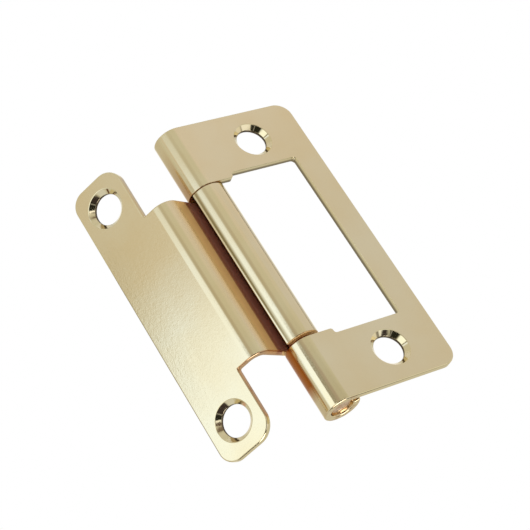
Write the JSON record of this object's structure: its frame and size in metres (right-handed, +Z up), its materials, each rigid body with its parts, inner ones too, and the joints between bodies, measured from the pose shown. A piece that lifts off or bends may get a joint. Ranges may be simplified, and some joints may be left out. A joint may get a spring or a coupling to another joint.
{
  "type": "cranked hinge",
  "caption": "Plated flush hinge: a flat windowed leaf and a cranked leaf, pressed from sheet and curled round a pin, each with countersunk screw holes near its ends.",
  "frame": {"origin": "midway between the two screw holes of the frame leaf, on its seating face", "axes": "+Z up along the pin, +X from the frame leaf's screw holes towards the pin, +Y out of the seating face, into what the leaf is screwed to"},
  "size_m": [0.0347, 0.0124, 0.05],
  "materials": {
    "frame_plate": "bright brass plate over pressed sheet",
    "crank_plate": "bright brass plate over pressed sheet, with a fine orange-peel",
    "pin": "brass plate over a drawn pin"
  },
  "bodies": {
    "frame_side": {"frame_leaf": "frame_plate", "hinge_pin": "pin"},
    "door_side": {"cranked_leaf": "crank_plate"}
  },
  "joints": [
    {"name": "leaf_swing", "type": "hinge", "parent": "frame_side", "child": "door_side", "pos_m": [0.0106, 0.00175, 0], "axis": [0, 0, 1], "range_deg": [-170, 150]}
  ]
}
